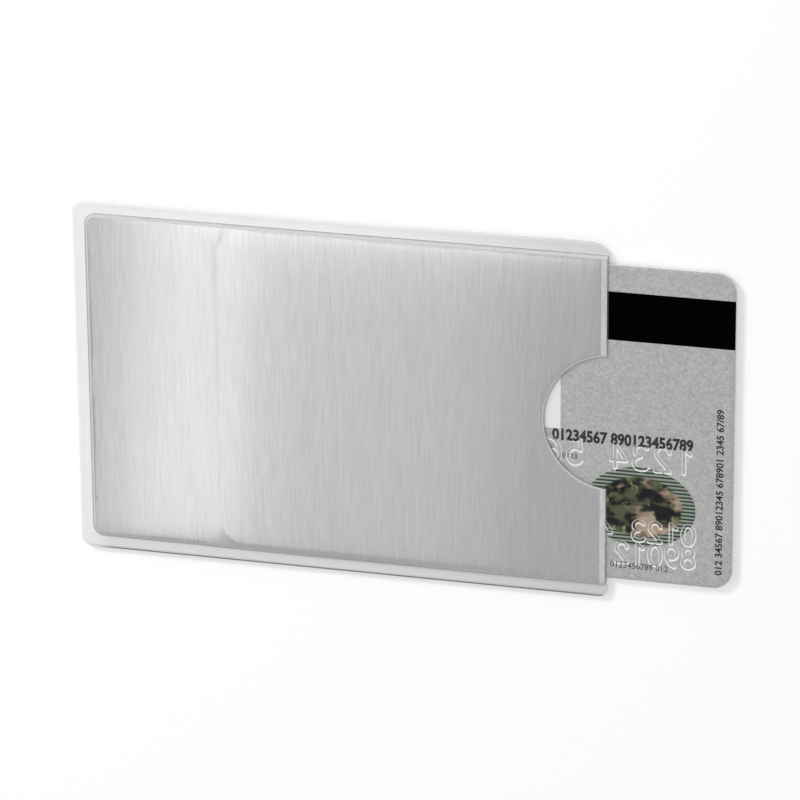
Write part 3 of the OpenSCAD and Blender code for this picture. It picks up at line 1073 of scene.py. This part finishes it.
def print_row(name, text, left, foot, height, width=None, turn=0.0, bold=0.0, step=0.25):
    """A row of digits printed on the card's back, following its embossing."""
    curve = bpy.data.curves.new(name, "FONT")
    curve.body = text
    curve.offset = bold
    curve.resolution_u = 3
    letters = new_object(name, curve)
    mesh = bpy.data.meshes.new_from_object(letters.evaluated_get(bpy.context.evaluated_depsgraph_get()))
    bpy.data.objects.remove(letters)

    corners = np.array([vertex.co[:2] for vertex in mesh.vertices])
    low, high = corners.min(0), corners.max(0)
    scale_y = height / (high[1] - low[1])
    scale_x = scale_y if width is None else width / (high[0] - low[0])
    work = bmesh.new()
    work.from_mesh(mesh)
    bmesh.ops.remove_doubles(work, verts=work.verts, dist=1e-6)
    for vertex in work.verts:
        across, up = (vertex.co.x - low[0]) * scale_x, (vertex.co.y - low[1]) * scale_y
        vertex.co = (across, up, 0)
    cut_by_grid(work, step)
    bmesh.ops.rotate(work, verts=work.verts, matrix=Matrix.Rotation(math.radians(turn), 3, "Z"))
    bmesh.ops.translate(work, verts=work.verts, vec=(left, foot, 0))
    bmesh.ops.triangulate(work, faces=work.faces)
    upper = bmesh.ops.extrude_face_region(work, geom=work.faces[:])["geom"]
    lifted = {part for part in upper if isinstance(part, bmesh.types.BMVert)}
    plan = np.array([vertex.co[:2] for vertex in work.verts])
    sink = EMBOSS_DEPTH * wall_share(plan)
    for vertex, depth in zip(work.verts, sink):
        vertex.co.z = card_high.z + 0.001 - depth + (INK_THICKNESS if vertex in lifted else 0)
    work.to_mesh(mesh)
    work.free()
    mesh.materials.append(INK)
    settle(new_object(name, mesh), "card", "stripe_black")


# Each row: its name and digits, its left end, foot and height
print_row("print_bold_row", "01234567 890123456789", 35.7, -3.8, 2.2, width=23.3, bold=0.04)
print_row("print_small_row", "0123", 37.4, -6.7, 0.9, step=0.4)
print_row("print_foot_row", "0123456789 012", 45.5, -25.0, 1.0, step=0.3)
print_row("print_upright_row", "012 34567 89012345 678901 2345 67/89", 64.0, -24.7, 1.25,
          width=28.7, turn=90.0, bold=0.025, step=0.4)


# %% [markdown]
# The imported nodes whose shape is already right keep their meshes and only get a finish.


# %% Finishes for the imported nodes
for node, material in {
    "upper_edge_weld": WELD, "lower_edge_weld": WELD, "end_weld": WELD,
    "antenna_film": INLAY, "antenna_coil": COPPER, "antenna_bridge": COPPER,
    "chip_frame": PLATING, "chip_cap": RESIN, "card_front_sheet": SHEET,
    "magnetic_stripe": BLACK, "signature_panel": PANEL,
}.items():
    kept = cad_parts[node]
    for place in kept.material_slots:
        place.material = material
    print(node, "keeps its mesh")

# %% [markdown]
# The floor is matt and pale. To the camera, and in reflections, it is a little more than
# half its own shade and the rest is white, so it looks white and still holds the shadow
# of the sleeve.


# %% Floor
WHITE_SHARE = 0.45


def pale_floor():
    material, tree, shader = new_finish("pale_floor", Base_Color=grey(0.97), Roughness=0.9)
    shader.inputs["Specular IOR Level"].default_value = 0.0
    ray = tree.nodes.new("ShaderNodeLightPath")
    seen = Field(tree, ray.outputs["Is Camera Ray"])
    seen = seen.step("MAXIMUM", Field(tree, ray.outputs["Is Glossy Ray"]))
    seen = seen.step("MAXIMUM", Field(tree, ray.outputs["Is Transmission Ray"]))
    white = tree.nodes.new("ShaderNodeEmission")
    white.inputs["Color"].default_value = grey(1.0)
    mixed = mixed_shader(tree, seen * WHITE_SHARE, shader, white)
    tree.links.new(mixed.outputs[0], tree.nodes["Material Output"].inputs["Surface"])
    return material


bpy.ops.mesh.primitive_plane_add(size=6.0, location=(0, 0, 0))
floor = bpy.context.object
floor.name = "floor"
floor.data.materials.append(pale_floor())
floor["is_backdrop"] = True

# %% [markdown]
# The camera looks down on the sleeve from beyond its upper edge and a little from the
# right, through a long lens. The straight edges of the card and the sleeve in the
# photograph fix its direction, distance and slight roll.


# %% Camera
aim = Vector((10.19, 0.55, 1.0)) * MM
to_camera = Vector((0.2461, 0.3578, 0.9008)).normalized()
camera_distance = 844.9 * MM
camera_roll = math.radians(0.42)

look = -to_camera
up = (Vector((0, 1, 0)) - look * look.y).normalized()
up.rotate(Quaternion(look, camera_roll))
right = look.cross(up)
lens = bpy.data.cameras.new("camera")
lens.lens = 234
lens.sensor_width = 36
lens.clip_start = 0.01
camera = new_object("camera", lens)
turned = Matrix((right, up, to_camera)).transposed().to_4x4()
camera.matrix_world = Matrix.Translation(aim + to_camera * camera_distance) @ turned
bpy.context.scene.camera = camera

# %% [markdown]
# The key comes from the upper left and gives the edges their shadow. It is left out of
# reflections, because a metal sheet would mirror so small and bright a lamp as glare. A
# broad panel softens it, and a room that is brighter on one side fills the rest. Three
# small panels hang close above the sleeve, where the camera sees them in the foil: the
# strip makes its bright band, and the other two the softer levels beside the band.


# %% Lights
def panel_light(name, direction, distance, width, height, level):
    """A soft light that faces the sleeve, its width along x, and adds a given level."""
    data = bpy.data.lights.new(name, "AREA")
    data.shape = "RECTANGLE"
    data.size, data.size_y = width, height
    data.energy = level * math.pi * width * height
    lamp = new_object(name, data)
    direction = Vector(direction).normalized()
    along_x = (Vector((1, 0, 0)) - direction * direction.x).normalized()
    turned = Matrix((along_x, direction.cross(along_x), direction)).transposed().to_4x4()
    lamp.matrix_world = Matrix.Translation(direction * distance) @ turned
    lamp.visible_camera = False
    return lamp


# Each lamp: the direction to it, its distance, width and height, and the level it adds
panel_light("near_panel", (-0.280, -0.195, 0.9), 0.230, 0.082, 0.158, 0.25)
panel_light("near_strip", (-0.398, -0.185, 0.9), 0.238, 0.017, 0.155, 0.86)
panel_light("near_upper", (-0.20, -0.10, 0.925), 0.240, 0.09, 0.060, 0.42)
panel_light("soft_panel", (-0.60, 0.35, 0.72), 1.0, 0.9, 0.9, 0.60)
key = panel_light("key", (-0.50, 0.62, 0.60), 1.2, 0.25, 0.25, 42.0)
key.visible_glossy = False

ROOM_LEVEL = 0.46
ROOM_GAIN = 0.30
world = bpy.data.worlds.new("room")
bpy.context.scene.world = world
world.use_nodes = True
room = world.node_tree
way = room.nodes.new("ShaderNodeTexCoord")
towards = room.nodes.new("ShaderNodeVectorMath")
towards.operation = "DOT_PRODUCT"
towards.inputs[1].default_value = Vector((0.6, 0.5, 0.6)).normalized()
room.links.new(way.outputs["Generated"], towards.inputs[0])
level = ROOM_LEVEL + ROOM_GAIN * Field(room, towards.outputs["Value"]).rise(0.3, 1.0)
feed(room, level, room.nodes["Background"].inputs["Strength"])
room.nodes["Background"].inputs["Color"].default_value = grey(1.0)

bpy.context.scene.view_settings.view_transform = "Standard"

# %% [markdown]
# Last, the size of the finished model is set against the imported one.

# %% Finish
visual_low, visual_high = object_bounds()
for name, cad, visual in (("low", cad_low, visual_low), ("high", cad_high, visual_high)):
    print(name, "corner off by", [round((b - a) / MM, 3) for a, b in zip(cad, visual)], "mm")
